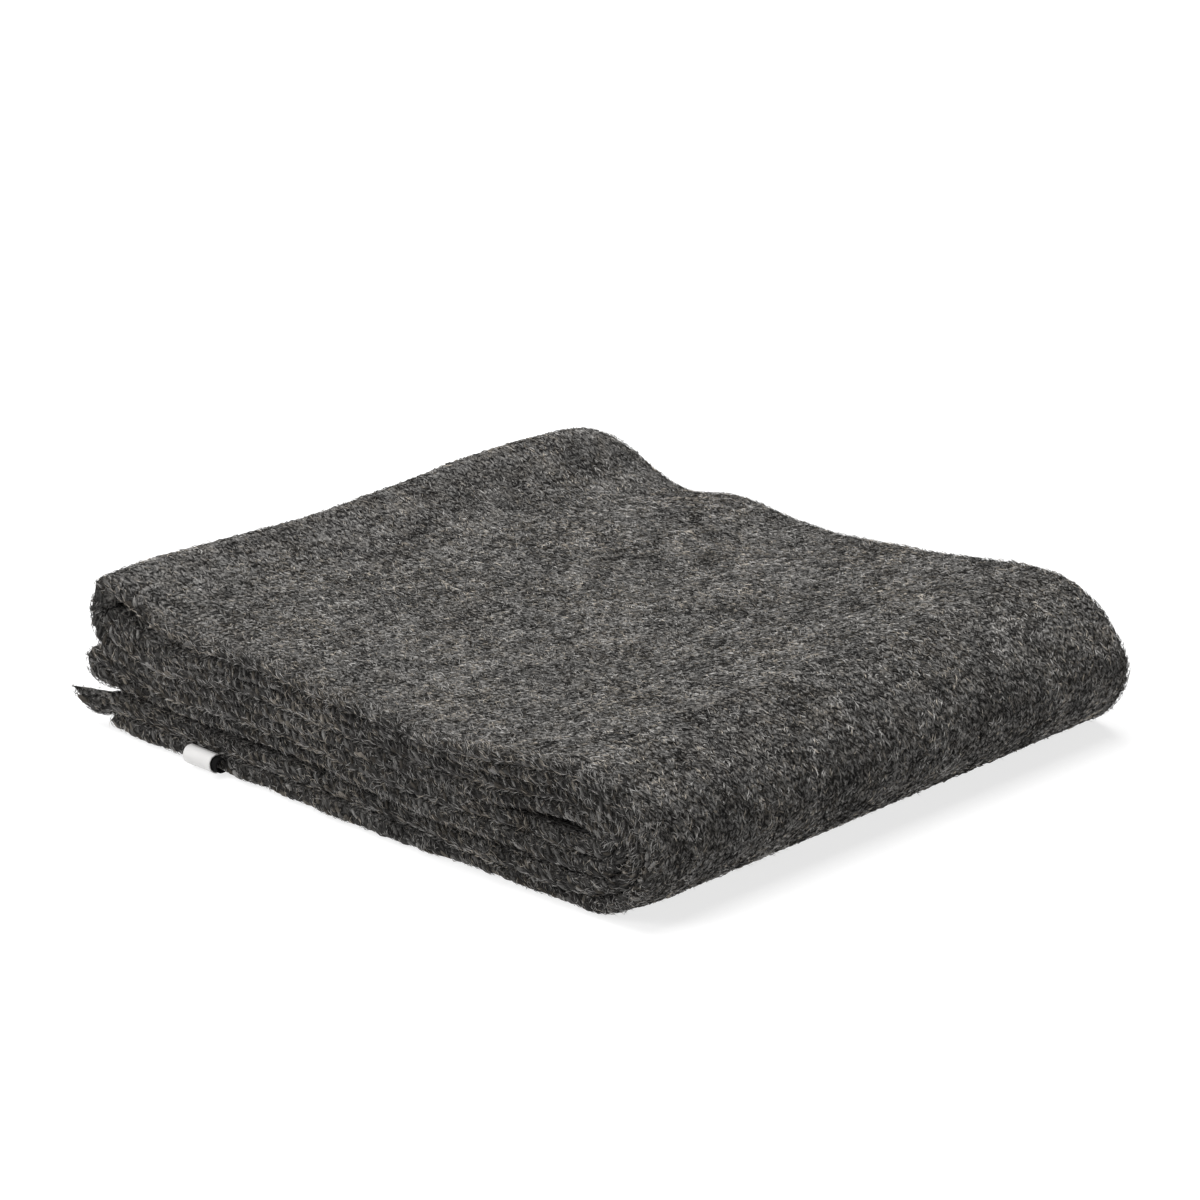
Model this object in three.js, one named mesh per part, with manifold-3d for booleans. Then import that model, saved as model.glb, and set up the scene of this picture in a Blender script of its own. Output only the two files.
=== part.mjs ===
// Knit scarf, folded in half three times and laid flat: eight layers of one long brushed strip.
// Millimetres, +Z up. X runs across the strip from selvedge to selvedge, Y runs along it, with the
// rounded turns at the front (-Y) and the back turns and the two free ends at the back (+Y).
// Layers are numbered 1 at the top to 8 at the bottom. The strip runs 8, 1, 4, 5, 6, 3, 2, 7.

import * as THREE from "three";
import { mergeVertices } from "three/addons/utils/BufferGeometryUtils.js";
import Module from "manifold-3d";

const wasm = await Module();
wasm.setup();

// The cloth: a thick brushed knit, squeezed a little where it turns at the front
const stripWidth = 220;
const wall = 4.8;
const wallAtFront = 4.29;
const layerPitch = 5.5;
const pitchAtFront = 5.1;

// The stack before it settles
const layers = 8;
const flatHeight = (layers - 1) * layerPitch + wall;
const midHeight = flatHeight / 2;
const frontEnd = -117;
const nestPitch = 5.22;
const upperTurnStart = -79;
const lowerTurnStart = -95;
const squeezeEnd = -45;
const backTurnCentre = 106;
const outerBackReach = 8.3;
const innerBackReach = 3.0;
const lowFoldCentre = 112.5;
const lowFoldReach = 5.0;
const lowerFreeEnd = 108.5;
const upperFreeEnd = 127;
const tipStart = 110;
const tipRise = -1.9;
const tipThinning = 0.3;

// Where the strip is parted into stretches: inside the crease under layer 4, and near layer 7's end
const creaseCut = 94;
const upperEndCut = 103;
const cutGap = 0.6;

// How finely the strip is divided
const turnSteps = 12;
const backTurnSteps = 8;
const runSteps = 11;
const columnsAcross = 8;
const selvedgeColumns = [0, 0.15, 0.6, 1.5, 4.5];
const clearOfEnd = 1.5;

// The settled surface: a base height, with swells and dips as measured across the folded scarf.
// The lower layers lie fuller than the upper ones, which take most of each swell and dip.
const lowerFullness = 1.8;
const swellPower = 1.4;
const baseHeight = 39;
const everywhere = 2000;
const swells = [
  { x: 0, y: 121, wide: everywhere, long: 26, rise: 13 },
  { x: -110, y: 112, wide: 60, long: 30, rise: 2 },
  { x: 58, y: 114, wide: 34, long: 20, rise: 1.8 },
  { x: 0, y: -84, wide: everywhere, long: 32, rise: 5.5 },
  { x: -112, y: 62, wide: 60, long: 36, rise: 4 },
  { x: -118, y: 82, wide: 15, long: 26, rise: -8 },
  { x: 112, y: 80, wide: 45, long: 18, rise: -7.5 },
  { x: 112, y: 12, wide: 60, long: 34, rise: -5.5 },
  { x: 0, y: 5, wide: 60, long: 60, rise: -1.5 },
  { x: 118, y: 122, wide: 18, long: 24, rise: -6.6 },
  { x: 114, y: -98, wide: 26, long: 24, rise: 1.5 },
];

// The stack's plan: the left side widens from the front corner, and the back runs out to the left
const leftSpread = { narrowAtFront: 2.6, wideAtBack: 2.4, from: -112, to: -30 };
const backRun = { left: 3.8, right: 0, from: 78, to: 110 };

// The selvedges wander a little along the strip, each in its own way
const leftWander = { reach: 1.1, length: 41, second: 0.7, secondLength: 15.3, start: 0.4 };
const rightWander = { reach: 1.0, length: 47, second: 0.8, secondLength: 12.7, start: 2.1 };

// The low back fold runs out at the left selvedge, measured along the strip
const foldRunOut = { reach: 3.2, at: 914, length: 16 };

// Only the left corner of the upper free end sticks out; the rest of its edge lies further in
const tipCorner = { under: 10.6, wholeUntil: -109, shortFrom: -97, short: 0.25 };

// The core that stands for the packed inside of the hidden layers, back from both selvedges
const coreSetBack = 7;
const coreInTurn = 4;

// The hollow inside the innermost front turn, open at both selvedges
const hollow = { front: -97, back: -76, height: 3.4, depth: 20 };

// The label: a white satin loop with a black one inside it, sewn to the lower selvedge
const label = {
  from: 58,
  to: 72,
  root: -113.7,
  out: -118.2,
  low: 0.4,
  high: 6.6,
  wall: 0.8,
  gap: 0.35,
  blackPast: 1.6,
  bendSteps: 8,
};

const clamp01 = (value) => Math.min(1, Math.max(0, value));
const smooth = (value) => clamp01(value) ** 2 * (3 - 2 * clamp01(value));
const mix = (a, b, share) => a + (b - a) * share;
const smoothBetween = ({ from, to }, value) => smooth((value - from) / (to - from));

// Height of the settled stack over a point of the floor
function settledHeight(x, y) {
  return swells.reduce((height, swell) => {
    const across = (x - swell.x) / swell.wide;
    const along = (y - swell.y) / swell.long;
    return height + swell.rise * Math.exp(-across * across - along * along);
  }, baseHeight);
}

// A point of the flat stack, moved to where the settled stack has it; the underside stays at z = 0
function settle(x, y, z) {
  const spread = mix(-leftSpread.narrowAtFront, leftSpread.wideAtBack, smoothBetween(leftSpread, y));
  const out = (spread * Math.min(x, 0)) / (stripWidth / 2);
  const back = mix(backRun.left, backRun.right, x / stripWidth + 0.5) * smoothBetween(backRun, y);
  const cornerShare = smooth((x - tipCorner.wholeUntil) / (tipCorner.shortFrom - tipCorner.wholeUntil));
  const past = z < tipCorner.under ? Math.max(0, y - tipStart) : 0;
  const inwards = past * (1 - tipCorner.short) * cornerShare;
  const share = clamp01(z / flatHeight);
  const fuller = lowerFullness * Math.sin(Math.PI * share);
  const rise = (settledHeight(x, y) - flatHeight) * share ** swellPower;
  return new THREE.Vector3(x + out, y + back - inwards, z + fuller + rise);
}

// Squeeze of the layers towards the front turns: 0 in the runs, 1 in the turns
const squeeze = (y) => smooth((squeezeEnd - y) / (squeezeEnd - upperTurnStart));
const wallAt = (y) => mix(wall, wallAtFront, squeeze(y));
const pastStack = (y) => clamp01((y - tipStart) / (upperFreeEnd - tipStart));

// How far the middle of a turn's arm lies from the stack's middle height; nest 0 is the outermost turn
function armReach(nest, y) {
  return (flatHeight - wallAt(y)) / 2 - nest * mix(layerPitch, pitchAtFront, squeeze(y));
}

function layerHeight(layer, y) {
  const upper = layer <= layers / 2;
  const reach = armReach(upper ? layer - 1 : layers - layer, y);
  const curl = layer === 7 ? tipRise * pastStack(y) ** 2 : 0;
  return (upper ? midHeight + reach : midHeight - reach) + curl;
}

// Evenly spaced places from one value to another, ends included
function places(from, to, steps) {
  return Array.from({ length: steps + 1 }, (_, i) => mix(from, to, i / steps));
}

// The middle line of a layer, from the front to the back, with the same places on every layer
function layerRun(layer, backEnd) {
  const front = layer <= layers / 2 ? [] : [lowerTurnStart, (lowerTurnStart + upperTurnStart) / 2];
  const main = places(upperTurnStart, creaseCut, runSteps);
  const back = places(creaseCut, backEnd, 2).slice(1);
  return [...front, ...main, ...back].map((y) => ({ y, z: layerHeight(layer, y) }));
}

// A front turn, from its lower arm round to its upper arm; the upper quarter is the longer one
function frontTurn(nest) {
  const tip = frontEnd + wallAtFront / 2 + nest * nestPitch;
  const reach = armReach(nest, upperTurnStart);
  return places(0, Math.PI, turnSteps).slice(1, -1).map((angle) => {
    const start = angle < Math.PI / 2 ? lowerTurnStart : upperTurnStart;
    return { y: start - (start - tip) * Math.sin(angle), z: midHeight - reach * Math.cos(angle) };
  });
}

// A back turn from its upper arm down to its lower arm
function backTurn(upperLayer, lowerLayer, centre, reach) {
  const high = layerHeight(upperLayer, centre);
  const low = layerHeight(lowerLayer, centre);
  return places(0, Math.PI, backTurnSteps).slice(1, -1).map((angle) => ({
    y: centre + reach * Math.sin(angle),
    z: (high + low) / 2 + ((high - low) / 2) * Math.cos(angle),
  }));
}

// The free end of layer 7 past the stack, which droops a little
function tipRun() {
  return places(tipStart, upperFreeEnd, 4).map((y) => ({ y, z: layerHeight(7, y) }));
}

// The whole strip's middle line, from the lower free end to the upper one, with its running length
function stripLine() {
  const line = [
    ...layerRun(8, lowerFreeEnd).reverse(),
    ...frontTurn(0),
    ...layerRun(1, backTurnCentre),
    ...backTurn(1, 4, backTurnCentre, outerBackReach),
    ...layerRun(4, backTurnCentre).reverse(),
    ...frontTurn(3).reverse(),
    ...layerRun(5, lowFoldCentre),
    ...backTurn(5, 6, lowFoldCentre, lowFoldReach),
    ...layerRun(6, lowFoldCentre).reverse(),
    ...frontTurn(2),
    ...layerRun(3, backTurnCentre),
    ...backTurn(2, 3, backTurnCentre, innerBackReach).reverse(),
    ...layerRun(2, backTurnCentre).reverse(),
    ...frontTurn(1).reverse(),
    ...layerRun(7, upperEndCut),
    ...tipRun(),
  ];
  let length = 0;
  return line.map((point, i) => {
    const before = line[Math.max(0, i - 1)];
    const after = line[Math.min(line.length - 1, i + 1)];
    length += Math.hypot(point.y - before.y, point.z - before.z);
    const run = Math.hypot(after.y - before.y, after.z - before.z);
    return { ...point, length, ny: -(after.z - before.z) / run, nz: (after.y - before.y) / run };
  });
}

// Places along a line between two running lengths, with close ones where its ends are rounded
function stretchOf(line, from, to) {
  const at = (length) => {
    const next = line.findIndex((point) => point.length >= length);
    const b = line[Math.max(1, next < 0 ? line.length - 1 : next)];
    const a = line[line.indexOf(b) - 1];
    const share = (length - a.length) / (b.length - a.length);
    return Object.fromEntries(Object.keys(a).map((key) => [key, mix(a[key], b[key], share)]));
  };
  const radius = wall / 2;
  const clear = clearOfEnd * radius;
  const ends = selvedgeColumns.filter((share) => share <= 1).map((share) => share * radius);
  const inside = line.filter(({ length }) => length > from + clear && length < to - clear);
  return [...ends.map((d) => at(from + d)), ...inside, ...ends.reverse().map((d) => at(to - d))];
}

const wander = (shape, length) =>
  shape.reach * Math.sin(length / shape.length + shape.start) +
  shape.second * Math.sin(length / shape.secondLength + 2 * shape.start);

// A closed wall of cloth along a stretch of the strip: two skins that meet in a rounded border
function clothWall(stretch, thinsToTip = false) {
  const radius = wall / 2;
  const setIn = selvedgeColumns.map((share) => share * radius);
  const middle = places(setIn.at(-1), stripWidth - setIn.at(-1), columnsAcross).slice(1, -1);
  const columns = [...setIn, ...middle, ...setIn.map((d) => stripWidth - d).reverse()];
  const first = stretch[0].length;
  const last = stretch.at(-1).length;
  const rounding = (distance) => Math.sqrt(1 - (1 - clamp01(distance / radius)) ** 2);
  const positions = [];
  const place = (row, column, side) => {
    const point = stretch[row];
    const across = columns[column];
    const fromSelvedge = Math.min(across, stripWidth - across);
    const fromEnd = Math.min(point.length - first, last - point.length);
    const thick = wallAt(point.y) * (thinsToTip ? 1 - tipThinning * pastStack(point.y) : 1);
    const out = (side * rounding(fromSelvedge) * rounding(fromEnd) * thick) / 2;
    const runOut = foldRunOut.reach * Math.exp(-(((point.length - foldRunOut.at) / foldRunOut.length) ** 2));
    const left = -stripWidth / 2 - wander(leftWander, point.length) - runOut;
    const right = stripWidth / 2 + wander(rightWander, point.length);
    const x = mix(left, right, across / stripWidth);
    positions.push(...settle(x, point.y + point.ny * out, point.z + point.nz * out).toArray());
    return positions.length / 3 - 1;
  };
  const rows = stretch.length;
  const onBorder = (i, j) => i === 0 || j === 0 || i === rows - 1 || j === columns.length - 1;
  const outer = stretch.map((_, i) => columns.map((__, j) => place(i, j, onBorder(i, j) ? 0 : 1)));
  const inner = outer.map((row, i) => row.map((shared, j) => (onBorder(i, j) ? shared : place(i, j, -1))));
  const faces = [];
  // Every layer's faces are split along the same diagonal in plan, so that neighbours stay parallel
  const split = (a, b, c, d, forward) =>
    forward ? faces.push(a, b, c, a, c, d) : faces.push(b, c, d, b, d, a);
  for (let i = 0; i < rows - 1; i++) {
    const forward = stretch[i + 1].y > stretch[i].y;
    for (let j = 0; j < columns.length - 1; j++) {
      split(outer[i][j], outer[i][j + 1], outer[i + 1][j + 1], outer[i + 1][j], forward);
      split(inner[i + 1][j], inner[i + 1][j + 1], inner[i][j + 1], inner[i][j], !forward);
    }
  }
  return outward(positions, faces);
}

// A prism along X through the same closed outline at each place across, settled with the stack
function settledPrism(outline, acrossPlaces) {
  const positions = acrossPlaces.flatMap((x) => outline.flatMap(({ y, z }) => settle(x, y, z).toArray()));
  const count = outline.length;
  const faces = [];
  for (let i = 0; i < acrossPlaces.length - 1; i++) {
    for (let j = 0; j < count; j++) {
      const next = (j + 1) % count;
      const a = i * count + j;
      const b = i * count + next;
      faces.push(a, b, b + count, a, b + count, a + count);
    }
  }
  // Each cap is cut into triangles in its settled form, so that none reaches past a dip in its outline
  [acrossPlaces[0], acrossPlaces.at(-1)].forEach((x, last) => {
    const settled = outline.map((corner) => settle(x, corner.y, corner.z));
    const flat = settled.map(({ y, z }) => new THREE.Vector2(y, z));
    const start = last * (acrossPlaces.length - 1) * count;
    const cap = THREE.ShapeUtils.triangulateShape(flat, []);
    cap.forEach((corners) => faces.push(...(last ? corners : corners.reverse()).map((k) => start + k)));
  });
  return outward(positions, faces);
}

// A geometry whose faces point out, whichever way its outline ran
function outward(positions, faces) {
  const corner = (index) => new THREE.Vector3().fromArray(positions, 3 * index);
  let volume = 0;
  for (let i = 0; i < faces.length; i += 3) {
    const [a, b, c] = [0, 1, 2].map((k) => corner(faces[i + k]));
    volume += a.dot(b.cross(c));
  }
  const geometry = new THREE.BufferGeometry();
  geometry.setAttribute("position", new THREE.Float32BufferAttribute(positions, 3));
  geometry.setIndex(volume > 0 ? faces : faces.reverse());
  return geometry;
}

function toSolid(geometry) {
  const bare = geometry.clone();
  bare.deleteAttribute("normal");
  bare.deleteAttribute("uv");
  const merged = mergeVertices(bare);
  return new wasm.Manifold(
    new wasm.Mesh({
      numProp: 3,
      vertProperties: new Float32Array(merged.getAttribute("position").array),
      triVerts: new Uint32Array(merged.getIndex().array),
    }),
  );
}

function toGeometry(solid) {
  const mesh = solid.getMesh();
  const geometry = new THREE.BufferGeometry();
  geometry.setAttribute("position", new THREE.Float32BufferAttribute(mesh.vertProperties, 3));
  geometry.setIndex(Array.from(mesh.triVerts));
  return geometry;
}

// The outline of the hidden layers' packed core: along the middles of layers 2 and 7, round the front,
// and stepped at the back, where each turn and the crease under layer 4 end
function coreOutline() {
  const at = (layer, y) => ({ y, z: layerHeight(layer, y) });
  const behindCrease = creaseCut - cutGap;
  return [
    ...layerRun(2, backTurnCentre + innerBackReach / 2).reverse(),
    ...frontTurn(1).reverse(),
    ...layerRun(7, upperEndCut - coreInTurn),
    at(6, upperEndCut - coreInTurn),
    at(6, lowFoldCentre + lowFoldReach - 1),
    at(5, lowFoldCentre + lowFoldReach - 1),
    at(5, behindCrease),
    at(3, behindCrease),
    at(3, backTurnCentre + innerBackReach / 2),
  ];
}

// The lens-shaped hollow in the innermost turn
function hollowOutline() {
  const centre = (hollow.front + hollow.back) / 2;
  const half = (hollow.back - hollow.front) / 2;
  return places(0, 2 * Math.PI, 12).slice(1).map((angle) => ({
    y: centre + half * Math.cos(angle),
    z: midHeight + (hollow.height / 2) * Math.sin(angle),
  }));
}

function hiddenLayers(line, from, to) {
  const halfCore = stripWidth / 2 - coreSetBack;
  const core = settledPrism(coreOutline(), places(-halfCore, halfCore, columnsAcross));
  const inner = stripWidth / 2 - hollow.depth;
  const outer = halfCore + 1;
  const openings = [[-outer, -inner], [inner, outer]].map((across) => settledPrism(hollowOutline(), across));
  return openings.reduce(
    (solid, opening) => solid.subtract(toSolid(opening)),
    toSolid(clothWall(stretchOf(line, from, to))).add(toSolid(core)),
  );
}

// A curled band in a C, open towards the cloth, with its own wall, from one place along Y to another
function labelLoop(inset, from, to) {
  const high = label.high - inset;
  const low = label.low + inset;
  const radius = (high - low) / 2;
  const bendAt = label.out + inset + radius;
  const skin = (r) => [
    new THREE.Vector2(label.root, low + radius - r),
    ...places(-Math.PI / 2, Math.PI / 2, label.bendSteps).map(
      (angle) => new THREE.Vector2(bendAt - r * Math.cos(angle), low + radius + r * Math.sin(angle)),
    ),
    new THREE.Vector2(label.root, low + radius + r),
  ];
  const shape = new THREE.Shape([...skin(radius), ...skin(radius - label.wall).reverse()]);
  const geometry = new THREE.ExtrudeGeometry(shape, { depth: to - from, steps: 4, bevelEnabled: false });
  geometry.rotateX(Math.PI / 2);
  geometry.translate(0, to, 0);
  return geometry;
}

const line = stripLine();
const lengthAt = (layer, y, runsBack) => {
  const near = line.filter((point) => Math.abs(point.z - layerHeight(layer, point.y)) < 0.01);
  const ordered = near.filter((point) => Math.sign(point.nz) === (runsBack ? 1 : -1));
  const i = ordered.findIndex((point) => (runsBack ? point.y >= y : point.y <= y));
  const share = (y - ordered[i - 1].y) / (ordered[i].y - ordered[i - 1].y);
  return mix(ordered[i - 1].length, ordered[i].length, share);
};
const creaseLength = lengthAt(4, creaseCut, false);
const upperEndLength = lengthAt(7, upperEndCut, true);

const knit = { color: 0x4b4845, roughness: 0.95, metalness: 0 };
const pieces = [
  {
    name: "outer_turn",
    geometry: clothWall(stretchOf(line, 0, creaseLength - cutGap)),
    finish: knit,
  },
  {
    name: "hidden_layers",
    geometry: toGeometry(hiddenLayers(line, creaseLength, upperEndLength - cutGap)),
    finish: { ...knit, color: 0x413f3c },
  },
  {
    name: "upper_free_end",
    geometry: clothWall(stretchOf(line, upperEndLength, line.at(-1).length), true),
    finish: knit,
  },
  {
    name: "label_white",
    geometry: labelLoop(0, label.from, label.to),
    finish: { color: 0xe4e2df, roughness: 0.45, metalness: 0 },
  },
  {
    name: "label_black",
    geometry: labelLoop(label.wall + label.gap, label.from - label.blackPast, label.to),
    finish: { color: 0x121212, roughness: 0.5, metalness: 0 },
  },
];

// The origin is the middle of the scarf's footprint, on the surface it rests on
const scarf = new THREE.Group();
scarf.name = "knit_scarf";
pieces.forEach(({ name, geometry, finish }) => {
  const mesh = new THREE.Mesh(geometry, new THREE.MeshStandardMaterial(finish));
  mesh.name = name;
  scarf.add(mesh);
});
const box = new THREE.Box3().setFromObject(scarf);
scarf.position.set(-(box.min.x + box.max.x) / 2, -(box.min.y + box.max.y) / 2, -box.min.z);

export default scarf;
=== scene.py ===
import math

import bpy
import numpy as np
from mathutils import Matrix, Vector


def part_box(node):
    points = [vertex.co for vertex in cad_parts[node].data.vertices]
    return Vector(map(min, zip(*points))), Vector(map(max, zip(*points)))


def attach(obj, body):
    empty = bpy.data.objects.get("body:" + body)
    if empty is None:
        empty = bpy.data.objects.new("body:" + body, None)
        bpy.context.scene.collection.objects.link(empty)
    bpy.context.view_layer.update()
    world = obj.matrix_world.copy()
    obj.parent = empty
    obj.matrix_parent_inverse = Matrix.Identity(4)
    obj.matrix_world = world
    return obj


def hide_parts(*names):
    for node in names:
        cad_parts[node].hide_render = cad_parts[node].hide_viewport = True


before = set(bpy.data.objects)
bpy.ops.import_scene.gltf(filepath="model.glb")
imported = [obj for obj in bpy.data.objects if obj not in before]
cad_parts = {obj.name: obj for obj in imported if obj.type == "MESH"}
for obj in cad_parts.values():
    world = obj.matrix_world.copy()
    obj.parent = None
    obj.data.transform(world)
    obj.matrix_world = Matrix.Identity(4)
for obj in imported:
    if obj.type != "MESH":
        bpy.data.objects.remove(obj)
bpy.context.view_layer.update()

# Folded knit scarf: one long brushed strip, folded in half three times, with a small loop label.
# The cloth is worked out in millimetres, in the same stack coordinates as the part's source, and
# moved to the row frame in metres when a piece is made.
MM = 0.001

# The cloth and the stack before it settles, much as in the part's source, its free ends fitted closer
STRIP_WIDTH = 220.0
WALL, WALL_AT_FRONT = 4.8, 4.29
LAYER_PITCH, PITCH_AT_FRONT = 5.5, 5.1
LAYERS = 8
FLAT_HEIGHT = (LAYERS - 1) * LAYER_PITCH + WALL
MID_HEIGHT = FLAT_HEIGHT / 2
FRONT_END, NEST_PITCH = -117.0, 5.22
UPPER_TURN_START, LOWER_TURN_START, SQUEEZE_END = -79.0, -95.0, -45.0
BACK_TURN_CENTRE, OUTER_BACK_REACH, INNER_BACK_REACH = 106.0, 8.3, 3.0
LOW_FOLD_CENTRE, LOW_FOLD_REACH = 112.5, 5.0
LOWER_FREE_END, UPPER_FREE_END = 109.8, 127.0
TIP_START, TIP_RISE, TIP_DROOP, TIP_THINNING = 110.0, 0.3, 4.1, 0.62
LOWER_FULLNESS, SWELL_POWER, BASE_HEIGHT, EVERYWHERE = 1.8, 1.4, 39.0, 2000.0

# Swells and dips of the settled stack: x, y, wide, long, rise
SWELLS = [
    (0, 121, EVERYWHERE, 26, 13), (-110, 112, 60, 30, 2), (64, 116, 32, 20, 2.7),
    (0, -84, EVERYWHERE, 32, 5.5), (-112, 62, 60, 36, 4), (-118, 82, 15, 26, -8),
    (112, 80, 45, 18, -7.1), (112, 12, 60, 34, -5.5), (0, 5, 60, 60, -1.5),
    (118, 122, 18, 24, -6.6), (114, -98, 26, 24, 1.5),
]

# Shallow creases and soft hollows in the top: x, y, wide, long, rise
CREASES = [
    (-60, 70, 22, 9, 0.7), (-20, 52, 30, 7, -0.6), (30, 66, 16, 24, 0.6), (66, 30, 30, 10, -0.7),
    (-70, 6, 26, 12, -0.6), (-34, -22, 18, 30, 0.7), (24, -12, 34, 9, 0.6), (78, -34, 20, 26, 0.7),
    (-84, -52, 24, 14, 0.5), (2, -62, 42, 8, -0.5), (58, -70, 26, 9, 0.5), (92, 56, 14, 20, 0.6),
    (-92, 28, 14, 16, 0.5), (6, 96, 30, 8, 0.6), (-52, 104, 24, 8, -0.5), (44, -98, 22, 10, -0.6),
    (-40, -104, 26, 9, 0.5), (96, -88, 12, 14, -0.5), (119, 113, 14, 20, -5.6),
    (112, 64, 30, 13, -2.0), (-14, 117, 22, 8, -0.9), (34, 114, 12, 10, 0.7), (114, -90, 20, 18, -1.8),
]

# Gaps that stand open between two layers at a selvedge: upper layer, side, y, long, deep, height
GAPS = [
    (1, -1, 98, 21, 17, 5.0), (1, -1, 56, 26, 8, 1.2), (4, -1, -84, 9, 20, 2.6),
    (6, -1, 62, 55, 11, 3.0), (6, -1, -40, 60, 8, 1.9),
    (3, -1, -62, 22, 6, 0.8), (2, -1, -60, 30, 6, 0.9), (7, -1, 20, 40, 5, 0.6), (4, -1, 20, 50, 5, 0.5),
    (2, 1, 70, 30, 9, 1.2), (5, 1, 10, 50, 7, 1.3), (7, 1, -30, 40, 6, 1.0), (3, 1, -50, 30, 7, 0.9),
    (4, 1, 90, 20, 10, 1.4),
]
GAPS_FADE_AT, GAPS_FADE_LENGTH, GAP_SHARE = -97, 9, 1.25

# Plan of the stack and the wander of its selvedges
NARROW_AT_FRONT, WIDE_AT_BACK, SPREAD_FROM, SPREAD_TO = 2.6, 2.4, -112.0, -30.0
BACK_RUN_LEFT, BACK_RUN_FROM, BACK_RUN_TO = 3.8, 78.0, 110.0
LEFT_WANDER, RIGHT_WANDER = (1.1, 41, 0.7, 15.3, 0.4), (1.0, 47, 0.8, 12.7, 2.1)
FOLD_RUN_OUT, FOLD_RUN_LENGTH = 3.2, 16.0
BACK_RUN_OUT, BACK_RUN_LENGTH = 2.4, 24.0
EDGE_RIPPLE, RIPPLE_SLOWNESS = 0.7, 2.3
RIGHT_CORNER_PULL, RIGHT_CORNER_Y, RIGHT_CORNER_LENGTH = 2.6, -114, 13
NEAR_CORNER_LIFT, NEAR_CORNER_X, NEAR_CORNER_Y = 2.4, -113, -107
NEAR_CORNER_WIDTH, NEAR_CORNER_LENGTH = 12, 11

# Waves that keep the back folds from lying straight, in y and in height: reach, x length, z length, start
BACK_SWAYS = [(0.7, 19, 7, 1.0), (0.35, 8.3, -4, 0.0)]
BACK_ROLLS = [(0.5, 17, math.inf, 1.3), (0.3, 7.1, math.inf, 0.0)]
BACK_SWAY_FROM, BACK_SWAY_FADE = -100, 12

# Only the left corner of the upper free end sticks out. Under this height it is whole as far as the
# first x and short from the second, where this share of it is kept
TIP_UNDER, TIP_WHOLE, TIP_SHORT_FROM, TIP_KEPT = 10.6, -113.0, -105.0, 0.12

# The knit: wales run along the strip, and each selvedge is a chain of slanted grains
WALES, ROW = 70, 2.3
EDGE_ARC = WALL / 2 * math.pi / 2
ROUND_WIDTH = STRIP_WIDTH - WALL + 2 * EDGE_ARC
WALE = ROUND_WIDTH / WALES
COLUMNS_PER_WALE = 4
COLUMNS = WALES * COLUMNS_PER_WALE
TURN_STEP = 0.3
COARSE, FINE_EDGE = 8, 8
LEG_RELIEF, EDGE_SET_IN, LEG_ANGLE, EDGE_SLANT = 0.24, 0.5, 0.62, 0.66
GROOVE, MIDDLE_OF_WALE, TOP_OF_LEG, LEAST_RELIEF, MOST_RELIEF = -1.0, -0.3, 0.5, 0.5, 1.5
EDGE_UNEVEN, EDGE_UNEVEN_LENGTHS, EDGE_FADE_FROM, EDGE_FADE_WIDTH = 0.3, (3.1, 5.7, 9.0), 1.15, 3.4
CLEAR_OF_FLOOR = 0.02

rng = np.random.default_rng(7)


def smooth(value):
    value = np.clip(value, 0, 1)
    return value * value * (3 - 2 * value)


def mix(a, b, share):
    return a + (b - a) * share


def swell_sum(table, x, y):
    return sum(r * np.exp(-(((x - cx) / w) ** 2) - ((y - cy) / l) ** 2) for cx, cy, w, l, r in table)


def squeeze(y):
    return smooth((SQUEEZE_END - y) / (SQUEEZE_END - UPPER_TURN_START))


def wall_at(y):
    return mix(WALL, WALL_AT_FRONT, squeeze(y))


def past_stack(y):
    return np.clip((y - TIP_START) / (UPPER_FREE_END - TIP_START), 0, 1)


def arm_reach(nest, y):
    return (FLAT_HEIGHT - wall_at(y)) / 2 - nest * mix(LAYER_PITCH, PITCH_AT_FRONT, squeeze(y))


def layer_height(layer, y):
    upper = layer <= LAYERS // 2
    reach = arm_reach(layer - 1 if upper else LAYERS - layer, y)
    past = past_stack(y)
    curl = TIP_RISE * past**2 - TIP_DROOP * np.sin(math.pi * past) if layer == 7 else 0
    return (MID_HEIGHT + reach if upper else MID_HEIGHT - reach) + curl


# The strip's middle line, as (y, z) rows in the order in which the cloth runs
def layer_run(layer, back_end):
    front = UPPER_TURN_START if layer <= LAYERS // 2 else LOWER_TURN_START
    y = np.linspace(front, back_end, 200)
    return np.stack([y, layer_height(layer, y)], 1)


def front_turn(nest):
    tip = FRONT_END + WALL_AT_FRONT / 2 + nest * NEST_PITCH
    reach = arm_reach(nest, UPPER_TURN_START)
    angle = np.linspace(0, math.pi, 90)[1:-1]
    start = np.where(angle < math.pi / 2, LOWER_TURN_START, UPPER_TURN_START)
    return np.stack([start - (start - tip) * np.sin(angle), MID_HEIGHT - reach * np.cos(angle)], 1)


def back_turn(upper, lower, centre, reach):
    high, low = layer_height(upper, centre), layer_height(lower, centre)
    angle = np.linspace(0, math.pi, 60)[1:-1]
    return np.stack([centre + reach * np.sin(angle), (high + low) / 2 + (high - low) / 2 * np.cos(angle)], 1)


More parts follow.
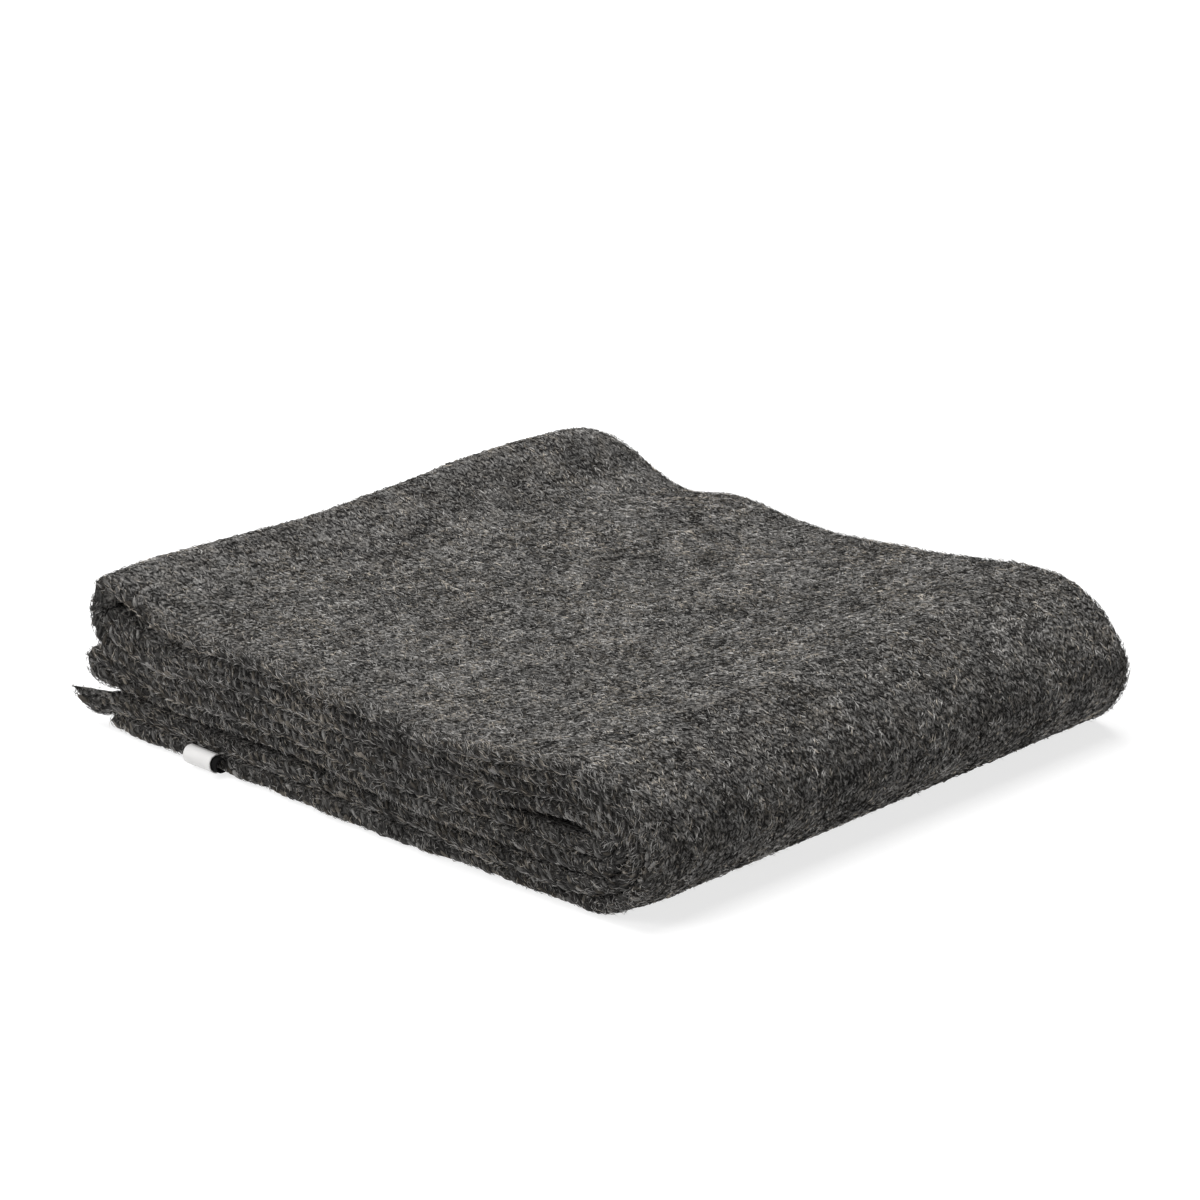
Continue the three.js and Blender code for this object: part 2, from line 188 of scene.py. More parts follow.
def strip_line():
    parts = [
        layer_run(8, LOWER_FREE_END)[::-1], front_turn(0), layer_run(1, BACK_TURN_CENTRE),
        back_turn(1, 4, BACK_TURN_CENTRE, OUTER_BACK_REACH), layer_run(4, BACK_TURN_CENTRE)[::-1],
        front_turn(3)[::-1], layer_run(5, LOW_FOLD_CENTRE), back_turn(5, 6, LOW_FOLD_CENTRE, LOW_FOLD_REACH),
        layer_run(6, LOW_FOLD_CENTRE)[::-1], front_turn(2), layer_run(3, BACK_TURN_CENTRE),
        back_turn(2, 3, BACK_TURN_CENTRE, INNER_BACK_REACH)[::-1], layer_run(2, BACK_TURN_CENTRE)[::-1],
        front_turn(1)[::-1], layer_run(7, UPPER_FREE_END),
    ]
    marks = np.cumsum([0] + [len(part) for part in parts])
    line = np.concatenate(parts)
    length = np.concatenate([[0], np.cumsum(np.linalg.norm(np.diff(line, axis=0), axis=1))])
    return line, length, {name: (length[a], length[b - 1]) for name, a, b in zip(
        ("run8", "turn0", "run1", "back1", "run4", "turn3", "run5", "fold", "run6", "turn2", "run3", "back3",
         "run2", "turn1", "run7"), marks[:-1], marks[1:])}


LINE, LENGTH, SPANS = strip_line()
TOTAL = LENGTH[-1]
slope = np.gradient(LINE, LENGTH, axis=0)
slope /= np.linalg.norm(slope, axis=1, keepdims=True)
bending = np.linalg.norm(np.gradient(slope, LENGTH, axis=0), axis=1)
FOLD_MIDDLE, BACK_MIDDLE = sum(SPANS["fold"]) / 2, sum(SPANS["back1"]) / 2


def length_at(run, y):
    """Running length where a layer's run passes this y."""
    a, b = (np.searchsorted(LENGTH, end) for end in SPANS[run])
    ys, lengths = LINE[a : b + 1, 0], LENGTH[a : b + 1]
    order = np.argsort(ys)
    return float(np.interp(y, ys[order], lengths[order]))


def wander(shape, s):
    reach, length, second, second_length, start = shape
    return reach * np.sin(s / length + start) + second * np.sin(s / second_length + 2 * start)


def ripple(s, seed, lengths=(9.0, 17.0, 31.0)):
    """Slow uneven movement along the strip, alike for every point of the same running length."""
    waves = [np.sin(s / l * 2 * math.pi / RIPPLE_SLOWNESS + seed * (3 + i) + i * i)
             for i, l in enumerate(lengths)]
    return sum(waves) / len(lengths)


def wave_sum(table, x, z):
    return sum(reach * np.sin(x / x_length + z / z_length + start) for reach, x_length, z_length, start in table)


def lattice(a, b, seed):
    """Repeatable noise from 0 to 1 for each whole-number pair."""
    value = np.sin(a * 12.9898 + b * 78.233 + seed * 37.719) * 43758.5453
    return value - np.floor(value)


def open_gaps(x, y, z):
    """Opens the dark gaps between layers at the selvedges, and squeezes the layers to make room."""
    shift, total = 0.0, 0.0
    for upper, side, centre, long, deep, height in GAPS:
        between = (layer_height(upper, y) + layer_height(upper + 1, y)) / 2
        from_edge = STRIP_WIDTH / 2 - side * x
        fade = smooth((y - GAPS_FADE_AT) / GAPS_FADE_LENGTH)
        here = height * fade * np.exp(-(((y - centre) / long) ** 2)) * smooth(GAP_SHARE - from_edge / deep)
        shift = shift + here * (z > between)
        total = total + here
    return z + shift - total * np.clip(z / FLAT_HEIGHT, 0, 1)


def settle(x, y, z):
    """A point of the flat stack, moved to where the settled stack has it."""
    z = open_gaps(x, y, z)
    spread = mix(-NARROW_AT_FRONT, WIDE_AT_BACK, smooth((y - SPREAD_FROM) / (SPREAD_TO - SPREAD_FROM)))
    out = spread * np.minimum(x, 0) / (STRIP_WIDTH / 2)
    at_right_corner = np.exp(-(((y - RIGHT_CORNER_Y) / RIGHT_CORNER_LENGTH) ** 2)) * smooth(2 * x / STRIP_WIDTH)
    out = out - RIGHT_CORNER_PULL * at_right_corner
    run_out = smooth((y - BACK_RUN_FROM) / (BACK_RUN_TO - BACK_RUN_FROM))
    back = mix(BACK_RUN_LEFT, 0, x / STRIP_WIDTH + 0.5) * run_out
    back = back + run_out * wave_sum(BACK_SWAYS, x, z) * smooth((x - BACK_SWAY_FROM) / BACK_SWAY_FADE)
    past = np.where(z < TIP_UNDER, np.maximum(0, y - TIP_START), 0)
    back = back - past * (1 - TIP_KEPT) * smooth((x - TIP_WHOLE) / (TIP_SHORT_FROM - TIP_WHOLE))
    share = np.clip(z / FLAT_HEIGHT, 0, 1)
    height = BASE_HEIGHT + swell_sum(SWELLS, x, y) + swell_sum(CREASES, x, y)
    rise = (height - FLAT_HEIGHT) * share**SWELL_POWER
    rise = rise + run_out * wave_sum(BACK_ROLLS, x, z) * np.sin(math.pi * share)
    aside, ahead = (x - NEAR_CORNER_X) / NEAR_CORNER_WIDTH, (y - NEAR_CORNER_Y) / NEAR_CORNER_LENGTH
    lift = NEAR_CORNER_LIFT * np.exp(-(aside**2) - ahead**2) * (1 - share)
    high = z + LOWER_FULLNESS * np.sin(math.pi * share) + rise + lift
    return np.stack([x + out, y + back, np.maximum(high, 0)], -1)


def relief(s, w, side):
    """Height of the knit over the smooth cloth: grooves between the wales, and a set-in, uneven selvedge."""
    wale = np.floor(w / WALE + 0.5)
    place = np.mod(np.rint(w / (WALE / COLUMNS_PER_WALE)), COLUMNS_PER_WALE)
    leg = np.where(place == 2, GROOVE, np.where(place == 0, MIDDLE_OF_WALE, TOP_OF_LEG))
    legs = LEG_RELIEF * leg * mix(LEAST_RELIEF, MOST_RELIEF, lattice(wale, np.floor(s / ROW), 3 + side))
    near = smooth(EDGE_FADE_FROM - np.minimum(w, ROUND_WIDTH - w) / EDGE_FADE_WIDTH)
    return mix(legs, EDGE_UNEVEN * ripple(s, 5 + side, EDGE_UNEVEN_LENGTHS) - EDGE_SET_IN, near)


def cloth_point(s, w, side, knit=True):
    """A point of the cloth's surface: s along the strip, w across it and round its edges, side 1 or -1."""
    s, w = np.broadcast_arrays(np.asarray(s, float), np.asarray(w, float))
    y, z = np.interp(s, LENGTH, LINE[:, 0]), np.interp(s, LENGTH, LINE[:, 1])
    ty, tz = np.interp(s, LENGTH, slope[:, 0]), np.interp(s, LENGTH, slope[:, 1])
    long = np.hypot(ty, tz)
    ny, nz = -tz / long, ty / long
    radius = WALL / 2
    arc = np.minimum(w, ROUND_WIDTH - w)
    angle = np.clip(arc / radius, 0, math.pi / 2)
    inset = np.where(arc < EDGE_ARC, radius * (1 - np.cos(angle)), radius + arc - EDGE_ARC)
    left_half = w < ROUND_WIDTH / 2
    across = np.where(left_half, inset, STRIP_WIDTH - inset)
    from_end = np.minimum(s, TOTAL - s)
    end = np.sqrt(1 - (1 - np.clip(from_end / radius, 0, 1)) ** 2)
    on_tip = s > SPANS["run7"][0]
    thick = wall_at(y) * np.where(on_tip, 1 - TIP_THINNING * smooth(2 * past_stack(y)), 1)
    run_out = FOLD_RUN_OUT * np.exp(-(((s - FOLD_MIDDLE) / FOLD_RUN_LENGTH) ** 2))
    run_out = run_out + BACK_RUN_OUT * np.exp(-(((s - BACK_MIDDLE) / BACK_RUN_LENGTH) ** 2))
    left = -STRIP_WIDTH / 2 - wander(LEFT_WANDER, s) - EDGE_RIPPLE * ripple(s, 1) - run_out
    right = STRIP_WIDTH / 2 + wander(RIGHT_WANDER, s) + EDGE_RIPPLE * ripple(s, 2)
    x = mix(left, right, across / STRIP_WIDTH)
    height = relief(s, w, side) * end if knit else 0.0
    x = x + np.where(left_half, -1, 1) * np.cos(angle) * height
    out = side * np.sin(angle) * (end * thick / 2 + height)
    return settle(x, y + ny * out, z + nz * out)


# The row frame's origin is the middle of the footprint: the label's own corner says where that is
LABEL_FROM, LABEL_TO, LABEL_OUT, LABEL_LOW = 58.0, 72.0, -118.2, 0.4
label_low, label_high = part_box("label_white")
SHIFT = np.array([label_low.x / MM - LABEL_OUT, label_low.y / MM - LABEL_FROM, label_low.z / MM - LABEL_LOW])


def to_frame(points):
    return (np.asarray(points) + SHIFT) * MM


def make_mesh(name, points, faces, uv=None, finishes=(), finish_of=None):
    """A mesh object from points in stack millimetres and a list of face arrays of three or four corners."""
    mesh = bpy.data.meshes.new(name)
    points = to_frame(points).astype(np.float32)
    loops = np.concatenate([f.ravel() for f in faces])
    sizes = np.concatenate([np.full(len(f), f.shape[1]) for f in faces])
    starts = np.concatenate([[0], np.cumsum(sizes)[:-1]])
    mesh.vertices.add(len(points))
    mesh.vertices.foreach_set("co", points.ravel())
    mesh.loops.add(len(loops))
    mesh.loops.foreach_set("vertex_index", loops.astype(np.int32))
    mesh.polygons.add(len(sizes))
    mesh.polygons.foreach_set("loop_start", starts.astype(np.int32))
    mesh.update(calc_edges=True)
    mesh.validate()
    if uv is not None:
        layer = mesh.uv_layers.new(name="stitches")
        layer.data.foreach_set("uv", uv[loops].astype(np.float32).ravel())
    for finish in finishes:
        mesh.materials.append(finish)
    if finish_of is not None:
        mesh.polygons.foreach_set("material_index", finish_of.astype(np.int32))
    mesh.polygons.foreach_set("use_smooth", np.ones(len(sizes), bool))
    made = bpy.data.objects.new(name, mesh)
    bpy.context.scene.collection.objects.link(made)
    return made


def volume_of(points, faces):
    total = 0.0
    for f in faces:
        for k in range(1, f.shape[1] - 1):
            a, b, c = points[f[:, 0]], points[f[:, k]], points[f[:, k + 1]]
            total += float((a * np.cross(b, c)).sum())
    return total


def skin_faces(ids, whole):
    """Faces of one skin over its grid of vertex numbers. If it isn't whole, only its selvedges are fine."""
    rows, columns = ids.shape
    quads, fans = [], []

    def block(i, j):
        quads.append(np.stack([ids[np.ix_(i[:-1], j[:-1])], ids[np.ix_(i[:-1], j[1:])],
                               ids[np.ix_(i[1:], j[1:])], ids[np.ix_(i[1:], j[:-1])]], -1).reshape(-1, 4))

    if whole:
        block(np.arange(rows), np.arange(columns))
        return quads
    every = np.arange(rows)
    block(every, np.arange(FINE_EDGE + 1))
    block(every, np.arange(columns - 1 - FINE_EDGE, columns))
    i = np.unique(np.append(np.arange(0, rows, COARSE), rows - 1))
    j = np.arange(FINE_EDGE, columns - FINE_EDGE, COARSE)
    inner_i, inner_j = i[1:-1], j[1:-1]
    block(inner_i, inner_j)

    def ring(fine, coarse, flip):
        """Triangles between a fine edge of the grid and the coarse edge beside it."""
        at = np.searchsorted(fine[0], coarse[0])
        for a, b, low, high in zip(at[:-1], at[1:], coarse[1][:-1], coarse[1][1:]):
            middle = (a + b) // 2
            rim = fine[1]
            tri = [(rim[k], rim[k + 1], low) for k in range(a, middle)]
            tri += [(rim[k], rim[k + 1], high) for k in range(middle, b)]
            tri.append((rim[middle], high, low))
            fans.append(np.array([t[::-1] if flip else t for t in tri]))

    def side(fine_index, fine_ids, coarse_index, coarse_ids, flip):
        first, last = coarse_index[0], coarse_index[-1]
        keep = (fine_index >= first) & (fine_index <= last)
        ring((fine_index[keep], fine_ids[keep]), (coarse_index, coarse_ids), flip)

    jj = np.arange(columns)
    side(every, ids[:, j[0]], inner_i, ids[inner_i, j[1]], True)
    side(every, ids[:, j[-1]], inner_i, ids[inner_i, j[-2]], False)
    side(jj, ids[0, :], inner_j, ids[i[1], inner_j], False)
    side(jj, ids[-1, :], inner_j, ids[i[-2], inner_j], True)
    # the four corners, each a fan round its coarse corner
    for row_fine, col_fine, row_in, col_in, flip in (
        (0, j[0], i[1], j[1], False), (0, j[-1], i[1], j[-2], True),
        (rows - 1, j[0], i[-2], j[1], True), (rows - 1, j[-1], i[-2], j[-2], False),
    ):
        a = np.arange(row_in, row_fine + (-1 if row_fine < row_in else 1), -1 if row_fine < row_in else 1)
        b = np.arange(col_fine, col_in + (1 if col_fine < col_in else -1), 1 if col_fine < col_in else -1)
        rim = np.concatenate([ids[a, col_fine], ids[row_fine, b[1:]]])
        tri = np.stack([rim[:-1], rim[1:], np.full(len(rim) - 1, ids[row_in, col_in])], 1)
        fans.append(tri[:, ::-1] if flip else tri)
    return quads + fans


def row_places(start, stop):
    """Running lengths of a piece's rows: a stitch apart in the runs, closer together round the turns."""
    fine = np.linspace(start, stop, 3000)
    turned = 1 / ROW + np.interp(fine, LENGTH, bending) / TURN_STEP
    for end in (0.0, TOTAL):
        turned = turned + 2.0 * (np.abs(fine - end) < WALL / 2)
    count = np.concatenate([[0], np.cumsum((turned[1:] + turned[:-1]) / 2 * np.diff(fine))])
    steps = max(2, math.ceil(count[-1] / COARSE)) * COARSE
    return np.interp(np.linspace(0, count[-1], steps + 1), count, fine)


def cloth(name, start, stop, outer_whole, inner_whole, finishes):
    """A closed length of the strip's cloth between two running lengths, cut square except at a free end."""
    s = row_places(start, stop)[:, None]
    steps = len(s) - 1
    w = np.linspace(0, ROUND_WIDTH, COLUMNS + 1)[None, :]
    points = np.concatenate([cloth_point(s, w, side).reshape(-1, 3) for side in (1, -1)])
    count = (steps + 1) * (COLUMNS + 1)
    outer = np.arange(count).reshape(steps + 1, COLUMNS + 1)
    inner = outer + count
    inner[:, 0], inner[:, -1] = outer[:, 0], outer[:, -1]
    free = [i for i, at in ((0, start), (-1, stop)) if at < 1e-6 or at > TOTAL - 1e-6]
    for i in free:
        inner[i] = outer[i]
    faces = [f.astype(np.int64) for f in skin_faces(outer, outer_whole)]
    faces += [f[:, ::-1] for f in skin_faces(inner, inner_whole)]
    for i in (0, -1):
        if i in free:
            continue
        cap = np.stack([outer[i, :-1], inner[i, :-1], inner[i, 1:], outer[i, 1:]], 1)
        caps = [cap[1:-1], cap[:1][:, [0, 2, 3]], cap[-1:][:, [0, 1, 2]]]
        faces += caps if i == 0 else [f[:, ::-1] for f in caps]
    used = np.unique(np.concatenate([f.ravel() for f in faces]))
    renumber = np.full(2 * count, -1)
    renumber[used] = np.arange(len(used))
    faces = [renumber[f] for f in faces]
    uv = np.stack(np.broadcast_arrays(w / WALE, s / ROW), -1).reshape(-1, 2)
    uv = np.concatenate([uv, uv])[used]
    points = points[used]
    if volume_of(points, faces) < 0:
        faces = [f[:, ::-1] for f in faces]
    return make_mesh(name, points, faces, uv, finishes)


# Finishes


class Number:
    """A number in a finish's nodes, so that its patterns can be written as sums."""

    def __init__(self, finish, socket):
        self.finish, self.socket = finish, socket

    def math(self, operation, *others, clamp=False):
        inputs = {i: value for i, value in enumerate((self, *others))}
        return self.finish.number("ShaderNodeMath", {"operation": operation, "use_clamp": clamp}, inputs)

    def turned(self, operation, other):
        return self.finish.number("ShaderNodeMath", {"operation": operation}, {0: other, 1: self})

    def __add__(self, other):
        return self.math("ADD", other)

    def __sub__(self, other):
        return self.math("SUBTRACT", other)

    def __mul__(self, other):
        return self.math("MULTIPLY", other)

    def __pow__(self, other):
        return self.math("POWER", other)

    def __radd__(self, other):
        return self.turned("ADD", other)

    def __rsub__(self, other):
        return self.turned("SUBTRACT", other)

    def fraction(self):
        return self.math("FRACT")

    def size(self):
        return self.math("ABSOLUTE")

    def sine(self):
        return self.math("SINE")

    def held(self):
        return self.math("ADD", 0.0, clamp=True)


class Finish:
    """A material, made node by node."""

    def __init__(self, name):
        self.material = bpy.data.materials.new(name)
        self.material.use_nodes = True
        self.tree = self.material.node_tree
        self.tree.nodes.clear()

    def node(self, kind, settings=None, inputs=None):
        made = self.tree.nodes.new(kind)
        for key, value in (settings or {}).items():
            setattr(made, key, value)
        for key, value in (inputs or {}).items():
            if isinstance(value, Number):
                value = value.socket
            if isinstance(value, bpy.types.NodeSocket):
                self.tree.links.new(value, made.inputs[key])
            else:
                made.inputs[key].default_value = value
        return made

    def number(self, kind, settings=None, inputs=None, output=0):
        return Number(self, self.node(kind, settings, inputs).outputs[output])

    def noise(self, vector, scale, detail=2.0, roughness=0.5):
        return self.number("ShaderNodeTexNoise", {}, {
            "Vector": vector, "Scale": scale, "Detail": detail, "Roughness": roughness})

    def blend(self, share, a, b, how="MIX"):
        made = self.node("ShaderNodeMix", {"data_type": "RGBA", "blend_type": how})
        for index, value in ((0, share), (6, a), (7, b)):
            value = value.socket if isinstance(value, Number) else value
            if isinstance(value, bpy.types.NodeSocket):
                self.tree.links.new(value, made.inputs[index])
            else:
                made.inputs[index].default_value = value
        return made.outputs[2]

    def surface(self, inputs):
        shader = self.node("ShaderNodeBsdfPrincipled", {}, inputs)
        self.node("ShaderNodeOutputMaterial", {}, {"Surface": shader.outputs["BSDF"]})
        return self.material


def grey(level, warmth=0.0):
    """A linear colour near grey; warmth moves it towards brown."""
    return (level * (1 + warmth), level, level * (1 - 1.3 * warmth), 1.0)


def knit_finish():
    f = Finish("brushed_knit")
    place = f.node("ShaderNodeTexCoord").outputs["Object"]
    stitches = f.node("ShaderNodeUVMap", {"uv_map": "stitches"}).outputs["UV"]
    parts = f.node("ShaderNodeSeparateXYZ", {}, {"Vector": stitches})
    across, along = Number(f, parts.outputs["X"]), Number(f, parts.outputs["Y"])
    across = across + (f.noise(place, 260.0) - 0.5) * 0.6
    along = along + (f.noise(place, 330.0) - 0.5) * 0.9
    out = ((across + 0.5).fraction() * 2.0 - 1.0).size()
    leaning = along - out * 0.95
    leg = ((leaning.fraction() * math.pi).sine() * (out * (1.0 - out) * 4.0)) ** 0.6
    strands = f.noise(f.node("ShaderNodeCombineXYZ", {}, {
        "X": leaning * 6.0, "Y": out * 1.4 + across * 0.8, "Z": along * 0.7}).outputs[0], 1.0, 2.0, 0.6)
    marl = f.noise(place, 800.0, 2.0, 0.6)
    patch = f.noise(place, 95.0, 2.0, 0.5)
    # The legs are lighter and the gaps between them darker (leg * 0.35): painted shade in the gaps between the
    # stitches, over the marl's own strands, noise and patches
    tone = ((strands - 0.5) * 2.2 + (marl - 0.5) * 1.8 + (patch - 0.5) * 0.7 + leg * 0.35 + 0.06).held()
    # Painted shade: the base is darkened by up to three quarters over the outer wale and a half at each
    # selvedge, where shade falls between the layers and under the fibres
    tone = tone * (1.0 - ((across - WALES / 2).size() - (WALES / 2 - 1.4)).held() * 0.75)
    warm = ((f.noise(place, 140.0, 2.0) - 0.42) * 3.0).held()
    dark = f.blend(warm, grey(0.010, 0.03), grey(0.013, 0.09))
    light = f.blend(warm, grey(0.300, 0.03), grey(0.270, 0.07))
    colour = f.blend(tone, dark, light)
    height = leg * 0.6 + strands * 0.5 + marl * 0.3
    bump = f.node("ShaderNodeBump", {}, {"Strength": 1.0, "Distance": 0.0009, "Height": height})
    return f.surface({
        "Base Color": colour, "Roughness": 0.95, "Sheen Weight": 0.03, "Sheen Roughness": 0.5,
        "Specular IOR Level": 0.08, "Normal": bump.outputs["Normal"]})


def fibre_finish(name, level, warmth):
    f = Finish(name)
    return f.surface({"Base Color": grey(level, warmth), "Roughness": 0.85, "Specular IOR Level": 0.08})


KNIT = knit_finish()
TONES = [
    ("black", 0.016), ("charcoal", 0.050), ("slate", 0.105), ("grey", 0.190), ("pale", 0.290), ("white", 0.430),
]

# Shares of the tones, from black to white, on the front turns, over most of the nap and at the selvedges
FRONT_SHARES = (0.32, 0.22, 0.13, 0.12, 0.12, 0.09)
TONE_SHARES = (0.20, 0.21, 0.20, 0.19, 0.14, 0.06)
EDGE_SHARES = (0.34, 0.14, 0.07, 0.11, 0.17, 0.17)
FIBRES = [fibre_finish(name + "_fibre", level, 0.03) for name, level in TONES]
FIBRES += [fibre_finish(name + "_brown_fibre", level * 0.95, 0.11) for name, level in TONES]

# The ribs of the selvedges take three tones, plain and brown
RIBS = FIBRES[1:4] + FIBRES[7:10]
RIB_SHARES = (0.44, 0.25, 0.06, 0.15, 0.08, 0.02)


def ribbon_finish(name, light, dark, roughness, gloss, sheen):
    f = Finish(name)
    stitches = f.node("ShaderNodeUVMap", {"uv_map": "stitches"}).outputs["UV"]
    parts = f.node("ShaderNodeSeparateXYZ", {}, {"Vector": stitches})
    weft, warp = Number(f, parts.outputs["X"]), Number(f, parts.outputs["Y"])
    threads = (weft * (2 * math.pi)).sine() * 0.5 + ((warp + weft * 0.2) * (2 * math.pi)).sine() * 0.5
    uneven = f.noise(f.node("ShaderNodeTexCoord").outputs["Object"], 420.0, 2.0)
    tone = (0.6 + threads * 0.22 + (uneven - 0.5) * 0.5).held()
    bump = f.node("ShaderNodeBump", {}, {"Strength": 0.5, "Distance": 0.00008, "Height": threads})
    return f.surface({"Base Color": f.blend(tone, dark, light), "Roughness": roughness,
                      "Specular IOR Level": gloss, "Sheen Weight": sheen, "Normal": bump.outputs["Normal"]})


WHITE_RIBBON = ribbon_finish("white_satin_ribbon", grey(0.63, 0.01), grey(0.56, 0.015), 0.42, 0.5, 0.1)
BLACK_RIBBON = ribbon_finish("black_ribbon", grey(0.006), grey(0.003), 0.8, 0.08, 0.0)

# The cloth, in lengths

CUT = 94.0
cut_on = {run: length_at(run, CUT) for run in ("run8", "run4", "run5", "run6", "run7")}
low_front = length_at("run8", -82.0)
half_on_2 = length_at("run2", 0.0)
LENGTHS = [
    # name, start, stop, outer skin whole, inner skin whole, nodes it stands for
    ("lower_free_end", 0.0, cut_on["run8"], True, True, []),
    ("lowest_layer", cut_on["run8"], low_front, False, False, []),
    ("front_turn_and_top", low_front, cut_on["run4"], True, False, ["outer_turn"]),
    ("inner_turn_4_to_5", cut_on["run4"], cut_on["run5"], False, False, ["hidden_layers"]),
    ("low_back_fold", cut_on["run5"], cut_on["run6"], True, False, []),
    ("inner_turn_6_to_2", cut_on["run6"], half_on_2, False, False, []),
    ("inner_turn_2_to_7", half_on_2, cut_on["run7"], False, False, []),
    ("upper_free_end_cloth", cut_on["run7"], TOTAL, True, True, ["upper_free_end"]),
]
for name, start, stop, outer_whole, inner_whole, nodes in LENGTHS:
    piece = cloth(name, start, stop, outer_whole, inner_whole, [KNIT])
    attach(piece, "root")
    if nodes:
        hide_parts(*nodes)

# The nap

# Fibres: shares of one, sizes in millimetres, angles in radians; a pair is a span or a middle and a spread
FIBRE_MIDDLE = 0.45
STRAND_PITCH, STRAND_JITTER, ALONG_JITTER, LEG_TURN = 0.34, 0.13, 0.35, 0.26
LOOSE_TURN, ANY_WAY_SHARE = 0.5, 0.35
CHAIN_REACH, CHAIN_TURN, ON_CHAIN_SHARE = 1.2, 0.35, 0.8
STRAY_SHARE, MORE_STRAYS_ON_EDGE = 0.05, 0.12
STRAY_RISE, LYING_RISE = (0.35, 1.0), (0.08, 0.12)
STRAY_LENGTH, LYING_LENGTH, SHORTER_ON_EDGE = (2.4, 4.4), (0.95, 0.22), 0.1
STRAY_THICK, LYING_THICK, THINNER_ON_EDGE = (0.07, 0.10), (0.14, 0.24), 0.48
FIBRE_BEND, ROOT_HEIGHT, OUT_ON_EDGE = 0.14, (-0.3, 0.14), 0.32
LEG_TONE, FIBRE_TONE, PATCH_TONE, STRAY_TONE = 0.55, 0.5, 0.12, 0.35
WARM_PATCH, WARM_SPREAD, BROWN_FROM = 0.6, 0.8, 0.5


def one_fibre():
    """One fibre, 1 long and 1 in radius: a three-sided needle with a point at each end."""
    bpy.ops.object.select_all(action="DESELECT")
    bpy.ops.mesh.primitive_cone_add(vertices=3, radius1=1, radius2=0, depth=1 - FIBRE_MIDDLE,
                                    end_fill_type="NOTHING", location=(0, 0, (1 + FIBRE_MIDDLE) / 2))
    fibre = bpy.context.object
    bpy.ops.object.transform_apply(location=True, rotation=True, scale=True)
    bpy.ops.object.mode_set(mode="EDIT")
    bpy.ops.mesh.select_mode(type="VERT")
    bpy.ops.mesh.select_all(action="DESELECT")
    bpy.ops.object.mode_set(mode="OBJECT")
    for vertex in fibre.data.vertices:
        vertex.select = vertex.co.z < 0.5
    bpy.ops.object.mode_set(mode="EDIT")
    bpy.ops.mesh.select_mode(type="VERT")
    bpy.ops.mesh.extrude_region_move(TRANSFORM_OT_translate={"value": (0, 0, -FIBRE_MIDDLE)})
    bpy.ops.mesh.merge(type="CENTER")
    bpy.ops.mesh.select_all(action="SELECT")
    bpy.ops.mesh.normals_make_consistent(inside=False)
    bpy.ops.object.mode_set(mode="OBJECT")
    points = np.array([v.co for v in fibre.data.vertices])
    faces = np.array([list(p.vertices) for p in fibre.data.polygons])
    if volume_of(points, [faces]) < 0:
        faces = faces[:, ::-1]
    bpy.data.objects.remove(fibre)
    return points, faces


FIBRE_POINTS, FIBRE_FACES = one_fibre()


def unit(v):
    return v / np.maximum(np.linalg.norm(v, axis=-1, keepdims=True), 1e-9)


def frames(s, w, side):
    """Place on the smooth cloth, and the directions along the strip, across it and out of it."""
    step = 0.4
    at = cloth_point(s, w, side, knit=False)
    along = unit(cloth_point(np.clip(s + step, 0, TOTAL), w, side, knit=False)
                 - cloth_point(np.clip(s - step, 0, TOTAL), w, side, knit=False))
    across = unit(cloth_point(s, np.clip(w + step, 0, ROUND_WIDTH), side, knit=False)
                  - cloth_point(s, np.clip(w - step, 0, ROUND_WIDTH), side, knit=False))
    return at, along, across, unit(np.cross(across, along)) * np.asarray(side)[:, None]


def leg_spots(start, stop, low, high, side, strands):
    """Strands lying along the two legs of each stitch: s, w, side, angle and the leg's own tone."""
    rows = np.arange(math.ceil(start / ROW), math.floor(stop / ROW))
    wales = np.arange(math.ceil(low / WALE), math.floor(high / WALE) + 1)
    grid = np.meshgrid(rows, wales, (-1, 1), range(strands))
    row, wale, leg, strand = (places.ravel().astype(float) for places in grid)
    count = len(row)
    shift = (strand - (strands - 1) / 2) * STRAND_PITCH + rng.normal(0, STRAND_JITTER, count)
    s = (row + 0.5) * ROW + rng.normal(0, ALONG_JITTER, count) - shift * np.sin(leg * LEG_ANGLE)
    w = (wale + 0.25 * leg) * WALE + shift * np.cos(LEG_ANGLE)
    keep = (w > low) & (w < high) & (s > start) & (s < stop)
    tone = lattice(2 * wale + leg, row, 11)
    angle = leg * LEG_ANGLE + rng.normal(0, LEG_TURN, count)
    return np.stack([s, w, np.full(count, side), angle, tone], 1)[keep]


def loose_spots(start, stop, low, high, side, density):
    """Fibres lying any way, mostly near the legs' two directions."""
    count = int((stop - start) * (high - low) * density)
    angle = rng.choice([-1, 1], count) * LEG_ANGLE + rng.normal(0, LOOSE_TURN, count)
    angle = np.where(rng.random(count) < ANY_WAY_SHARE, rng.uniform(-math.pi, math.pi, count), angle)
    s, w = rng.uniform(start, stop, count), rng.uniform(low, high, count)
    return np.stack([s, w, np.full(count, side), angle, rng.random(count)], 1)


def edge_slant(w, side):
    """Direction of the chain's ribs: round the rounded edge like the strands of a rope."""
    return EDGE_SLANT * side * np.where(w < ROUND_WIDTH / 2, 1, -1)


